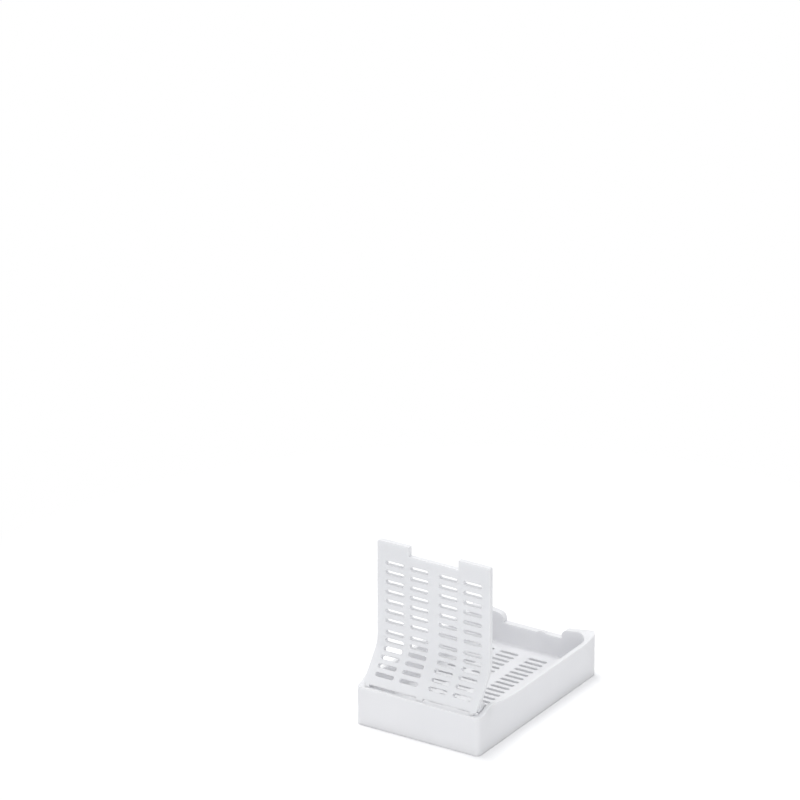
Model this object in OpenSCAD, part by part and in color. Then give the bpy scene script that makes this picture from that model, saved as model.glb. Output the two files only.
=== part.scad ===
// Histology tissue cassette: an open slotted tray and a slotted lid that swings up on two stub pins.
// Millimetres. X runs across the width, Y from the front wall to the rear wall, Z up from the underside.
// Profiles are drawn from the front face (y = 0), and each part is then centred on the origin.

/* [Tray] */
// Overall width of the tray
tray_w = 28.5; // [26:0.5:32]
// Overall length of the tray
tray_l = 45.0; // [42:0.5:50]
// Thickness of the side and front walls
wall = 0.85; // [0.8:0.05:1.2]
// Thickness of the rear wall
rear_wall = 1.4; // [1:0.1:1.8]
// Thickness of the tray's floor
floor_t = 1.2; // [0.9:0.05:1.5]
// Height of the floor's underside above the edge that the tray stands on
floor_lift = 0.8; // [0.4:0.1:1]
// Height of the front wall
front_h = 8.3; // [7.8:0.1:9]
// Height of the side walls along their middle
side_h = 8.3; // [7.5:0.1:9]
// Height of the shoulders that carry the hinge
shoulder_h = 9.5; // [9.3:0.1:10.5]
// Height of the rear corners
corner_h = 9.4; // [8.8:0.1:10.5]
// Height of the rear wall's ears where they meet its low middle
ear_h = 8.5; // [8.2:0.1:8.8]
// Height of the low middle of the rear wall
rear_mid_h = 6.5; // [5.8:0.1:6.8]
// Width of the low middle of the rear wall
rear_mid_w = 13.6; // [11:0.2:15]
// Radius of the ears' rounded corners beside the low middle
ear_r = 1.5; // [1:0.1:1.6]
// Radius of the outer vertical corners
outer_r = 1.1; // [0.6:0.1:1.5]
// Radius of the inner corners at the front
front_inner_r = 2.0; // [1.5:0.1:2.2]
// Radius of the inner corners at the rear, which widen the rim there
rear_inner_r = 3.0; // [2.2:0.1:4]
// Radius of the round along the bottom edge, inside the walls
floor_fillet = 0.5; // [0.3:0.05:0.8]

/* [Lid] */
// Clearance between each side of the lid and the side wall
lid_clear = 0.4; // [0.25:0.05:1]
// Thickness of the lid
lid_t = 1.0; // [0.8:0.05:1.2]
// Height of the standing lid's top above the tray's underside
lid_top = 38.0; // [36:0.5:42]
// Distance from the front face to the flat panel's front side
panel_y = 6.1; // [5.8:0.1:6.6]
// Height at which the flat panel starts to bend forward
bend_z = 17.8; // [16.8:0.1:18.5]
// Radius of the bend, at mid thickness
bend_r = 6.0; // [5:0.25:7]
// Angle of the bend
bend_a = 36; // [34:1:38]
// Depth of the finger notch in the lid's far edge
notch_d = 2.0; // [1.5:0.1:2.4]
// Width of the finger notch
notch_w = 11.4; // [10:0.2:13]
// Radius of the lid's corners
lid_corner_r = 0.5; // [0.3:0.05:0.8]
// Height of the feet that the open lid stands on
foot_h = 0.5; // [0.35:0.05:0.8]
// Width of each end foot
foot_w = 0.9; // [0.6:0.1:1.2]
// Width of the foot in the middle
mid_foot_w = 1.5; // [1:0.1:2.5]

/* [Slots] */
// Length of each slot
slot_l = 4.3; // [3.6:0.1:4.5]
// Width of each slot
slot_w = 0.9; // [0.7:0.05:1]
// Distance from the centre line to the inner columns of slots
inner_col = 1.2; // [0.9:0.1:1.5]
// Distance between an inner and an outer column
col_gap = 1.35; // [1:0.05:1.6]
// Distance between the last row of the lid's upper group and the start of the bend
upper_end = 3.16; // [2.6:0.02:3.6]
// Pitch of the rows round the lid's bend
bend_pitch = 1.82; // [1.7:0.01:1.95]
// Distance from the lid's top to its first row
first_row = 4.5; // [4:0.1:5]
// Extra space between the two groups of rows
group_gap = 0.4; // [0.2:0.05:0.6]
// Width of each slot in the floor
floor_slot_w = 0.85; // [0.7:0.05:0.95]
// Pitch of the rows in the floor
floor_pitch = 1.8; // [1.7:0.05:2.2]
// Solid margin of floor before the first row and after the last
floor_margin = 2.7; // [2:0.1:4]

/* [Hinge] */
// Distance from the front face to the hinge's axis
hinge_y = 4.5; // [4.3:0.1:4.8]
// Height of the hinge's axis
hinge_z = 8.0; // [7.8:0.1:8.1]
// Radius of the lid's stub pins
pin_r = 0.6; // [0.5:0.05:0.65]
// Running clearance between a pin and its dimple, on the radius
pin_clear = 0.05; // [0.03:0.01:0.08]
// Depth of the dimples in the side walls
dimple_d = 0.5; // [0.35:0.05:0.55]
// Thickness of the boss round each stub pin
boss_wall = 0.65; // [0.5:0.05:0.7]
// End clearance between a pin and the bottom of its dimple
pin_end_gap = 0.1; // [0.05:0.05:0.2]
// Length of the flare's edge that each lug is joined to
lug_l = 2.6; // [2.2:0.1:3]
// Thickness of the lugs that carry the pins
lug_t = 1.0; // [0.8:0.1:1.4]
// Clearance between a lug and its side wall
lug_clear = 0.2; // [0.1:0.05:0.3]
// Gap under the open lid's feet
foot_gap = 0.05; // [0.02:0.01:0.1]

/* [Nub] */
// Width of the small nub on the rear wall
nub_w = 1.9; // [1.4:0.1:2.5]
// Distance of the nub from the centre line
nub_x = 2.1; // [0:0.1:3]
// How far the nub stands above the low middle of the rear wall
nub_h = 0.4; // [0.25:0.05:0.6]
// Share of the rear wall's thickness that the nub covers
nub_share = 0.6; // [0.4:0.05:0.8]

/* [Hidden] */
eps = 0.01;
arc_n = 48;
slot_n = 16;
white = [0.9, 0.91, 0.92];

inner_half = tray_w / 2 - wall;
lid_w = 2 * (inner_half - lid_clear);
mid_y = panel_y + lid_t / 2;
bend_c = [mid_y - bend_r, bend_z];
bend_len = bend_r * bend_a * PI / 180;
flare_start = [bend_c[0] + bend_r * cos(bend_a), bend_c[1] - bend_r * sin(bend_a)];
foot_z = front_h + foot_gap;
sole_z = foot_z + foot_h;
flare_len = (flare_start[1] - foot_z) / cos(bend_a) + lid_t;
boss_r = pin_r + boss_wall;
lug_out = inner_half - lug_clear;
pin_tip = inner_half + dimple_d - pin_end_gap;
columns = [
    -inner_col - slot_l * 1.5 - col_gap,
    -inner_col - slot_l / 2,
    inner_col + slot_l / 2,
    inner_col + slot_l * 1.5 + col_gap
];
rows_upper = 7;
rows_lower = 6;
lid_pitch = (lid_top - first_row - bend_z - upper_end) / (rows_upper - 1);
// Rows measured down the lid's section from the start of the bend, upwards being negative
last_upper = -upper_end;
first_lower = last_upper + lid_pitch + group_gap;
lid_rows = concat(
    [for (i = [0 : rows_upper - 1]) last_upper - (rows_upper - 1 - i) * lid_pitch],
    [for (i = [0 : rows_lower - 1]) first_lower + i * bend_pitch]
);
floor_top = floor_lift + floor_t;
floor_len = tray_l - wall - rear_wall - 2 * floor_margin;
floor_rows = floor((floor_len - floor_slot_w) / floor_pitch) + 1;
floor_first = (tray_l + wall - rear_wall - (floor_rows - 1) * floor_pitch) / 2;

// The rim's height at a distance y from the front face: level along the front wall, a soft shoulder
// over the hinge, level again along the middle, and a concave sweep up to the rear corners.
shoulder_rise = 3.3;
shoulder_fall = 13;
sweep_l = 4.6;
function rim(y) =
    y < hinge_y - shoulder_rise ? front_h
    : y < hinge_y ? front_h + (shoulder_h - front_h) * pow(cos(90 * (hinge_y - y) / shoulder_rise), 2)
    : y < hinge_y + shoulder_fall
        ? side_h + (shoulder_h - side_h) * pow((hinge_y + shoulder_fall - y) / shoulder_fall, 2.2)
    : y < tray_l - sweep_l ? side_h
    : side_h + (corner_h - side_h) * pow((y - tray_l + sweep_l) / sweep_l, 1.8);

module rounded_plan(w, y0, y1, r0, r1) {
    // A plan outline whose front corners have radius r0 and rear corners radius r1
    hx0 = w / 2 - r0;
    hx1 = w / 2 - r1;
    translate([-w / 2, y0 + r0]) square([w, y1 - y0 - r0 - r1]);
    translate([-hx0, y0]) square([2 * hx0, r0 + eps]);
    translate([-hx1, y1 - r1 - eps]) square([2 * hx1, r1 + eps]);
    for (s = [-1, 1]) {
        translate([s * hx0, y0 + r0]) circle(r = r0, $fn = arc_n);
        translate([s * hx1, y1 - r1]) circle(r = r1, $fn = arc_n);
    }
}

module slot_2d(w) {
    square([slot_l - w, w], center = true);
    for (s = [-1, 1]) translate([s * (slot_l - w) / 2, 0]) circle(d = w, $fn = slot_n);
}

module side_profile() {
    // The tray seen from the side, under its rim
    step = 0.6;
    n = ceil(tray_l / step);
    polygon(concat([[tray_l, 0], [0, 0]], [for (i = [0 : n]) [tray_l * i / n, rim(tray_l * i / n)]]));
}

module rear_gap_2d() {
    // The space above the rear wall: its low middle, and above the ears, which fall from the corners
    top = corner_h + 2;
    half = rear_mid_w / 2;
    ear_end = half + ear_r;
    difference() {
        polygon([
            [-tray_w / 2, corner_h], [-ear_end, ear_h], [-ear_end, rear_mid_h],
            [ear_end, rear_mid_h], [ear_end, ear_h], [tray_w / 2, corner_h],
            [tray_w / 2, top], [-tray_w / 2, top]
        ]);
        for (s = [-1, 1]) translate([s * ear_end, 0]) {
            translate([0, ear_h - ear_r]) circle(r = ear_r, $fn = arc_n);
            translate([-ear_r, 0]) square([2 * ear_r, ear_h - ear_r]);
        }
    }
}

module nub(h) {
    // The small round-topped nub that stands on the inner part of the rear wall's low middle
    r = (pow(nub_w / 2, 2) + h * h) / (2 * h);
    depth = rear_wall * nub_share;
    translate([nub_x, tray_l - rear_wall + depth, rear_mid_h + h - r]) rotate([90, 0, 0])
        cylinder(r = r, h = depth, $fn = arc_n);
}

module base_tray() color(white) translate([0, -tray_l / 2, 0]) difference() {
    intersection() {
        linear_extrude(height = shoulder_h + corner_h) rounded_plan(tray_w, 0, tray_l, outer_r, outer_r);
        translate([-tray_w / 2, 0, 0]) rotate([90, 0, 90]) linear_extrude(height = tray_w) side_profile();
    }
    difference() {
        translate([0, 0, floor_top]) linear_extrude(height = shoulder_h + corner_h)
            rounded_plan(2 * inner_half, wall, tray_l - rear_wall, front_inner_r, rear_inner_r);
        // The coves where the walls run into the floor
        for (s = [-1, 1]) translate([s * inner_half, 0, floor_top]) rotate([-90, 0, 0]) cove(tray_l);
        for (y = [wall, tray_l - rear_wall])
            translate([-tray_w / 2, y, floor_top]) rotate([-90, 0, -90]) cove(tray_w);
    }
    // The rear wall's low middle and ears
    difference() {
        translate([0, tray_l + 1, 0]) rotate([90, 0, 0])
            linear_extrude(height = rear_inner_r + rear_wall + 1) rear_gap_2d();
        nub(nub_h);
    }
    // The hollow under the floor, inside the edge that the tray stands on
    translate([0, 0, -eps]) linear_extrude(height = floor_lift + eps)
        rounded_plan(2 * inner_half, wall, tray_l - wall, outer_r, outer_r);
    for (i = [0 : floor_rows - 1]) for (x = columns)
        translate([x, floor_first + i * floor_pitch, 0]) linear_extrude(height = floor_top + 1)
            slot_2d(floor_slot_w);
    // The dimples that hold the lid's stub pins
    for (s = [-1, 1]) translate([s * (inner_half + dimple_d / 2), hinge_y, hinge_z]) rotate([0, 90, 0])
        cylinder(r = pin_r + pin_clear, h = dimple_d + 2 * eps, center = true, $fn = arc_n);
}

module cove(len) {
    // A quarter-round strip on both sides of its axis, used to leave a fillet along a wall's foot
    linear_extrude(height = len) difference() {
        translate([-floor_fillet, -floor_fillet]) square([2 * floor_fillet, floor_fillet]);
        for (s = [-1, 1]) translate([s * floor_fillet, -floor_fillet]) circle(r = floor_fillet, $fn = arc_n);
    }
}

module lid_section() {
    // The lid seen from the side: a flat panel, a bend, and a flare down to the front wall's rim
    translate([panel_y, bend_z]) square([lid_t, lid_top - bend_z]);
    intersection() {
        difference() {
            translate(bend_c) circle(r = bend_r + lid_t / 2, $fn = arc_n * 2);
            translate(bend_c) circle(r = bend_r - lid_t / 2, $fn = arc_n * 2);
        }
        translate(bend_c) rotate(-bend_a) polygon([
            [0, 0],
            [2 * bend_r, 0],
            [2 * bend_r * cos(bend_a / 2), 2 * bend_r * sin(bend_a / 2)],
            [2 * bend_r * cos(bend_a), 2 * bend_r * sin(bend_a)]
        ]);
    }
    translate(flare_start) rotate(-bend_a) translate([-lid_t / 2, -flare_len]) square([lid_t, flare_len]);
}

module along_lid(s) {
    // Moves to the lid's mid plane at a distance s below the start of the bend, square to its surface
    a = s < 0 ? 0 : min(s / bend_len, 1) * bend_a;
    past = s < 0 ? s : max(s - bend_len, 0);
    y = bend_c[0] + bend_r * cos(a) - past * sin(a);
    z = bend_c[1] - bend_r * sin(a) - past * cos(a);
    translate([0, y, z]) rotate([90 - a, 0, 0]) children();
}

module lug_2d() {
    // The gusset behind the flare's edge, and the boss round the stub pin
    translate([hinge_y, hinge_z]) circle(r = boss_r, $fn = arc_n);
    along = [sin(bend_a), cos(bend_a)];
    low = [flare_start[0] - along[0] * (flare_start[1] - sole_z) / cos(bend_a), sole_z];
    high = low + along * lug_l;
    polygon([
        low + [0.3, 0],
        high,
        [hinge_y - boss_r * 0.1, hinge_z + boss_r * 0.99],
        [hinge_y - boss_r * 0.4, hinge_z - boss_r * 0.9]
    ]);
}

module lid() color(white) translate([0, -tray_l / 2, 0]) {
    difference() {
        intersection() {
            translate([-lid_w / 2, 0, 0]) rotate([90, 0, 90]) linear_extrude(height = lid_w) lid_section();
            // The lid seen from the front: two ears beside the notch, and three feet below
            translate([0, tray_l, 0]) rotate([90, 0, 0]) linear_extrude(height = 2 * tray_l) lid_face();
        }
        for (s = lid_rows) for (x = columns) translate([x, 0, 0]) along_lid(s)
            translate([0, 0, -lid_t]) linear_extrude(height = 2 * lid_t) slot_2d(slot_w);
    }
    for (s = [-1, 1]) {
        translate([s > 0 ? lug_out - lug_t : -lug_out, 0, 0]) rotate([90, 0, 90])
            linear_extrude(height = lug_t) lug_2d();
        translate([s * (lug_out + pin_tip) / 2 - s * lug_t / 4, hinge_y, hinge_z]) rotate([0, 90, 0])
            cylinder(r = pin_r, h = pin_tip - lug_out + lug_t / 2, center = true, $fn = arc_n);
    }
}

module lid_face() {
    half = lid_w / 2;
    difference() {
        rounded_plan(lid_w, sole_z, lid_top, eps, lid_corner_r);
        translate([-notch_w / 2, lid_top - notch_d]) square([notch_w, notch_d + 1]);
    }
    for (x = [-half + foot_w, 0, half - foot_w]) {
        w = x == 0 ? mid_foot_w : foot_w;
        translate([x - w / 2, foot_z]) square([w, foot_h + eps]);
    }
}

base_tray();
lid();
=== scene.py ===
# A histology tissue cassette, dressed for rendering: a moulded tray and its slotted lid, standing open.
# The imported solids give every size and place. All lengths below are metres, unless a name says mm.
import math

import bpy
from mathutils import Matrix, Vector

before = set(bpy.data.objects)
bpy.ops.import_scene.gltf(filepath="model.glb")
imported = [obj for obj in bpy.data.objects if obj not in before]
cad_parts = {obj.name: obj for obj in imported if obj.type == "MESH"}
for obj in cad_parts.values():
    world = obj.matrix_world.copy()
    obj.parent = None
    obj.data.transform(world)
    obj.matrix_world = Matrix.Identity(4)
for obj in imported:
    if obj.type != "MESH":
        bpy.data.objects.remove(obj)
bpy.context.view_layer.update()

scene = bpy.context.scene
scene.view_settings.view_transform = "Standard"

# The camera: a long lens at the front right, looking down a little on the cassette. It stands far
# off, so that the cassette's long edges stay nearly parallel.
CAMERA_AZIMUTH = math.radians(32.25)
CAMERA_ELEVATION = math.radians(23.62)
CAMERA_DISTANCE = 1.5888
CAMERA_LENS_MM = 360.0
CAMERA_SENSOR_MM = 36.0
CAMERA_NEAREST = 0.01
CAMERA_FARTHEST = 20.0
FRAMING_RIGHT = -0.01531
FRAMING_UP = 0.05204
LOOK_HEIGHT = 0.008

view_dir = Vector((
    -math.sin(CAMERA_AZIMUTH) * math.cos(CAMERA_ELEVATION),
    math.cos(CAMERA_AZIMUTH) * math.cos(CAMERA_ELEVATION),
    -math.sin(CAMERA_ELEVATION),
))
view_right = view_dir.cross(Vector((0, 0, 1))).normalized()
view_up = view_right.cross(view_dir)
camera_data = bpy.data.cameras.new("camera")
camera_data.lens = CAMERA_LENS_MM
camera_data.sensor_width = CAMERA_SENSOR_MM
camera_data.clip_start = CAMERA_NEAREST
camera_data.clip_end = CAMERA_FARTHEST
camera = bpy.data.objects.new("camera", camera_data)
camera.location = (
    Vector((0, 0, LOOK_HEIGHT)) - view_dir * CAMERA_DISTANCE
    + view_right * FRAMING_RIGHT + view_up * FRAMING_UP
)
camera.rotation_euler = view_dir.to_track_quat("-Z", "Y").to_euler()
scene.collection.objects.link(camera)
scene.camera = camera

# The lamps: three square softboxes. The strongest hangs overhead, a weak one stands low in front and
# to the left, and the last fills the side wall from the front right.
CASSETTE_FOOT = (0, 0, 0)
CASSETTE_MIDDLE = (0, 0, 0.01)


def studio_lamp(name, place, aim, size, watts):
    data = bpy.data.lights.new(name, "AREA")
    data.shape = "SQUARE"
    data.size = size
    data.energy = watts
    lamp = bpy.data.objects.new(name, data)
    lamp.location = place
    lamp.rotation_euler = (Vector(aim) - Vector(place)).to_track_quat("-Z", "Y").to_euler()
    scene.collection.objects.link(lamp)


studio_lamp("overhead_softbox", place=(-0.1, 0.04, 0.42), aim=CASSETTE_FOOT, size=0.22, watts=0.78)
studio_lamp("front_softbox", place=(-0.12, -0.60, 0.10), aim=CASSETTE_MIDDLE, size=0.30, watts=0.22)
studio_lamp("side_fill", place=(0.34, -0.50, 0.20), aim=CASSETTE_MIDDLE, size=0.30, watts=0.64)

# The room: an even pale glow that lights the cassette from all round. Where the camera or a gloss
# sees it directly, it is plain white.
ROOM_GLOW = (0.97, 0.98, 1.0, 1)
ROOM_STRENGTH = 0.57
SEEN_WHITE = (1, 1, 1, 1)
SEEN_STRENGTH = 1.0

world = bpy.data.worlds.new("studio")
scene.world = world
world.use_nodes = True
sky = world.node_tree
sky.nodes.clear()
sky_path = sky.nodes.new("ShaderNodeLightPath")
sky_seen = sky.nodes.new("ShaderNodeMath")
sky_seen.operation = "MAXIMUM"
sky_room = sky.nodes.new("ShaderNodeBackground")
sky_room.inputs["Color"].default_value = ROOM_GLOW
sky_room.inputs["Strength"].default_value = ROOM_STRENGTH
sky_white = sky.nodes.new("ShaderNodeBackground")
sky_white.inputs["Color"].default_value = SEEN_WHITE
sky_white.inputs["Strength"].default_value = SEEN_STRENGTH
sky_mix = sky.nodes.new("ShaderNodeMixShader")
sky_out = sky.nodes.new("ShaderNodeOutputWorld")
sky.links.new(sky_path.outputs["Is Camera Ray"], sky_seen.inputs[0])
sky.links.new(sky_path.outputs["Is Glossy Ray"], sky_seen.inputs[1])
sky.links.new(sky_seen.outputs[0], sky_mix.inputs["Fac"])
sky.links.new(sky_room.outputs["Background"], sky_mix.inputs[1])
sky.links.new(sky_white.outputs["Background"], sky_mix.inputs[2])
sky.links.new(sky_mix.outputs["Shader"], sky_out.inputs["Surface"])

# The table: a wide pale board in matt paint, which keeps the contact shadow round the cassette.
# Farther out than the shadow reaches, it fades to the plain white of the room.
TABLE_HALF = 3.0
TABLE_PAINT = (0.9, 0.9, 0.9, 1)
TABLE_SEEN = (1.18, 1.18, 1.18, 1)
SHADOW_REACH = 0.05
FADE_END = 2.5 * SHADOW_REACH
# The Mix node keeps its colour sockets at these places.
COLOR_A = 6
COLOR_B = 7
COLOR_OUT = 2

table_mesh = bpy.data.meshes.new("table")
table_mesh.from_pydata(
    [(-TABLE_HALF, -TABLE_HALF, 0), (TABLE_HALF, -TABLE_HALF, 0),
     (TABLE_HALF, TABLE_HALF, 0), (-TABLE_HALF, TABLE_HALF, 0)],
    [], [(0, 1, 2, 3)],
)
table = bpy.data.objects.new("table", table_mesh)
scene.collection.objects.link(table)

table_mat = bpy.data.materials.new("pale_table")
table_mat.use_nodes = True
tree = table_mat.node_tree
tree.nodes.clear()
table_path = tree.nodes.new("ShaderNodeLightPath")
table_seen = tree.nodes.new("ShaderNodeMath")
table_seen.operation = "MAXIMUM"
table_tone = tree.nodes.new("ShaderNodeMix")
table_tone.data_type = "RGBA"
table_tone.inputs[COLOR_A].default_value = TABLE_PAINT
table_tone.inputs[COLOR_B].default_value = TABLE_SEEN
table_paint = tree.nodes.new("ShaderNodeBsdfDiffuse")
table_place = tree.nodes.new("ShaderNodeNewGeometry")
table_reach = tree.nodes.new("ShaderNodeVectorMath")
table_reach.operation = "LENGTH"
table_far = tree.nodes.new("ShaderNodeMapRange")
table_far.inputs["From Min"].default_value = SHADOW_REACH
table_far.inputs["From Max"].default_value = FADE_END
table_fade = tree.nodes.new("ShaderNodeMath")
table_fade.operation = "MULTIPLY"
table_white = tree.nodes.new("ShaderNodeEmission")
table_white.inputs["Color"].default_value = SEEN_WHITE
table_white.inputs["Strength"].default_value = SEEN_STRENGTH
table_mix = tree.nodes.new("ShaderNodeMixShader")
table_out = tree.nodes.new("ShaderNodeOutputMaterial")
tree.links.new(table_path.outputs["Is Camera Ray"], table_seen.inputs[0])
tree.links.new(table_path.outputs["Is Glossy Ray"], table_seen.inputs[1])
tree.links.new(table_seen.outputs[0], table_tone.inputs["Factor"])
tree.links.new(table_tone.outputs[COLOR_OUT], table_paint.inputs["Color"])
tree.links.new(table_place.outputs["Position"], table_reach.inputs[0])
tree.links.new(table_reach.outputs["Value"], table_far.inputs["Value"])
tree.links.new(table_far.outputs["Result"], table_fade.inputs[0])
tree.links.new(table_seen.outputs[0], table_fade.inputs[1])
tree.links.new(table_fade.outputs[0], table_mix.inputs["Fac"])
tree.links.new(table_paint.outputs["BSDF"], table_mix.inputs[1])
tree.links.new(table_white.outputs["Emission"], table_mix.inputs[2])
tree.links.new(table_mix.outputs["Shader"], table_out.inputs["Surface"])
table_mesh.materials.append(table_mat)

# The tray: the open lower half of the cassette, one injection moulding in white acetal. Its faces
# keep the fine matt grain of the mould, its outward edges are a little smoother, and the plastic
# lets some light through.
ACETAL_IOR = 1.48
SCATTER_SHARE = 0.75
SCATTER_COLORS = (1.0, 1.0, 1.0)
SCATTER_DEPTH = 0.0008
GRAIN_STRENGTH = 0.35
EDGE_POLISH = 0.7
CLOUD_DETAIL = 3.0
CLOUD_RANGE = (0.38, 0.66)
GRAIN_DETAIL = 2.0
EDGE_RANGE = (0.5, 0.6)
# The Mix node keeps its plain number sockets at these places.
NUMBER_A = 2
NUMBER_B = 3
NUMBER_OUT = 0


def moulded_finish_group():
    """A node group for moulded acetal: faint clouding, a fine matt grain and smoother outward edges."""
    group = bpy.data.node_groups.new("moulded_finish", "ShaderNodeTree")
    face = group.interface
    for label, kind, value in (
        ("Plastic", "NodeSocketColor", (0.9, 0.9, 0.9, 1)),
        ("Cloud Shade", "NodeSocketColor", (0.8, 0.8, 0.8, 1)),
        ("Cloud Scale", "NodeSocketFloat", 90.0),
        ("Grain Scale", "NodeSocketFloat", 5000.0),
        ("Matt", "NodeSocketFloat", 0.5),
        ("Polish", "NodeSocketFloat", 0.35),
    ):
        socket = face.new_socket(label, in_out="INPUT", socket_type=kind)
        socket.default_value = value
    face.new_socket("Color", in_out="OUTPUT", socket_type="NodeSocketColor")
    face.new_socket("Roughness", in_out="OUTPUT", socket_type="NodeSocketFloat")
    face.new_socket("Height", in_out="OUTPUT", socket_type="NodeSocketFloat")
    nodes = group.nodes
    links = group.links
    inside = nodes.new("NodeGroupInput")
    outside = nodes.new("NodeGroupOutput")
    place = nodes.new("ShaderNodeTexCoord")
    cloud = nodes.new("ShaderNodeTexNoise")
    cloud.inputs["Detail"].default_value = CLOUD_DETAIL
    links.new(place.outputs["Object"], cloud.inputs["Vector"])
    links.new(inside.outputs["Cloud Scale"], cloud.inputs["Scale"])
    shade = nodes.new("ShaderNodeMapRange")
    shade.inputs["From Min"].default_value, shade.inputs["From Max"].default_value = CLOUD_RANGE
    links.new(cloud.outputs["Fac"], shade.inputs["Value"])
    tint = nodes.new("ShaderNodeMix")
    tint.data_type = "RGBA"
    links.new(shade.outputs["Result"], tint.inputs["Factor"])
    links.new(inside.outputs["Plastic"], tint.inputs[COLOR_A])
    links.new(inside.outputs["Cloud Shade"], tint.inputs[COLOR_B])
    grain = nodes.new("ShaderNodeTexNoise")
    grain.inputs["Detail"].default_value = GRAIN_DETAIL
    links.new(place.outputs["Object"], grain.inputs["Vector"])
    links.new(inside.outputs["Grain Scale"], grain.inputs["Scale"])
    outward = nodes.new("ShaderNodeNewGeometry")
    edge = nodes.new("ShaderNodeMapRange")
    edge.inputs["From Min"].default_value, edge.inputs["From Max"].default_value = EDGE_RANGE
    links.new(outward.outputs["Pointiness"], edge.inputs["Value"])
    rough = nodes.new("ShaderNodeMix")
    links.new(edge.outputs["Result"], rough.inputs["Factor"])
    links.new(inside.outputs["Matt"], rough.inputs[NUMBER_A])
    links.new(inside.outputs["Polish"], rough.inputs[NUMBER_B])
    links.new(tint.outputs[COLOR_OUT], outside.inputs["Color"])
    links.new(rough.outputs[NUMBER_OUT], outside.inputs["Roughness"])
    links.new(grain.outputs["Fac"], outside.inputs["Height"])
    return group


moulded_finish = moulded_finish_group()


def moulded_material(name, plastic, cloud, cloud_scale, grain_scale, matt, grain_height):
    mat = bpy.data.materials.new(name)
    mat.use_nodes = True
    nodes = mat.node_tree.nodes
    links = mat.node_tree.links
    shader = nodes["Principled BSDF"]
    shader.inputs["IOR"].default_value = ACETAL_IOR
    shader.inputs["Subsurface Weight"].default_value = SCATTER_SHARE
    shader.inputs["Subsurface Radius"].default_value = SCATTER_COLORS
    shader.inputs["Subsurface Scale"].default_value = SCATTER_DEPTH
    finish = nodes.new("ShaderNodeGroup")
    finish.node_tree = moulded_finish
    finish.inputs["Plastic"].default_value = (*plastic, 1)
    finish.inputs["Cloud Shade"].default_value = (*cloud, 1)
    finish.inputs["Cloud Scale"].default_value = cloud_scale
    finish.inputs["Grain Scale"].default_value = grain_scale
    finish.inputs["Matt"].default_value = matt
    finish.inputs["Polish"].default_value = matt * EDGE_POLISH
    bump = nodes.new("ShaderNodeBump")
    bump.inputs["Strength"].default_value = GRAIN_STRENGTH
    bump.inputs["Distance"].default_value = grain_height
    links.new(finish.outputs["Color"], shader.inputs["Base Color"])
    links.new(finish.outputs["Roughness"], shader.inputs["Roughness"])
    links.new(finish.outputs["Height"], bump.inputs["Height"])
    links.new(bump.outputs["Normal"], shader.inputs["Normal"])
    return mat


tray_mat = moulded_material(
    "tray_acetal",
    plastic=(0.87, 0.87, 0.885),
    cloud=(0.85, 0.852, 0.868),
    cloud_scale=70.0,
    grain_scale=4200.0,
    matt=0.5,
    grain_height=0.00002,
)
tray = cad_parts["base_tray"]
tray.data.materials.clear()
tray.data.materials.append(tray_mat)

# The lid: the slotted cover, a second acetal moulding with a slightly smoother face. It turns on two
# stub pins in the tray's side walls, and when open it stands over the front rim on three feet.
lid_mat = moulded_material(
    "lid_acetal",
    plastic=(0.86, 0.864, 0.88),
    cloud=(0.84, 0.845, 0.86),
    cloud_scale=60.0,
    grain_scale=4600.0,
    matt=0.46,
    grain_height=0.000015,
)
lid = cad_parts["lid"]
lid.data.materials.clear()
lid.data.materials.append(lid_mat)
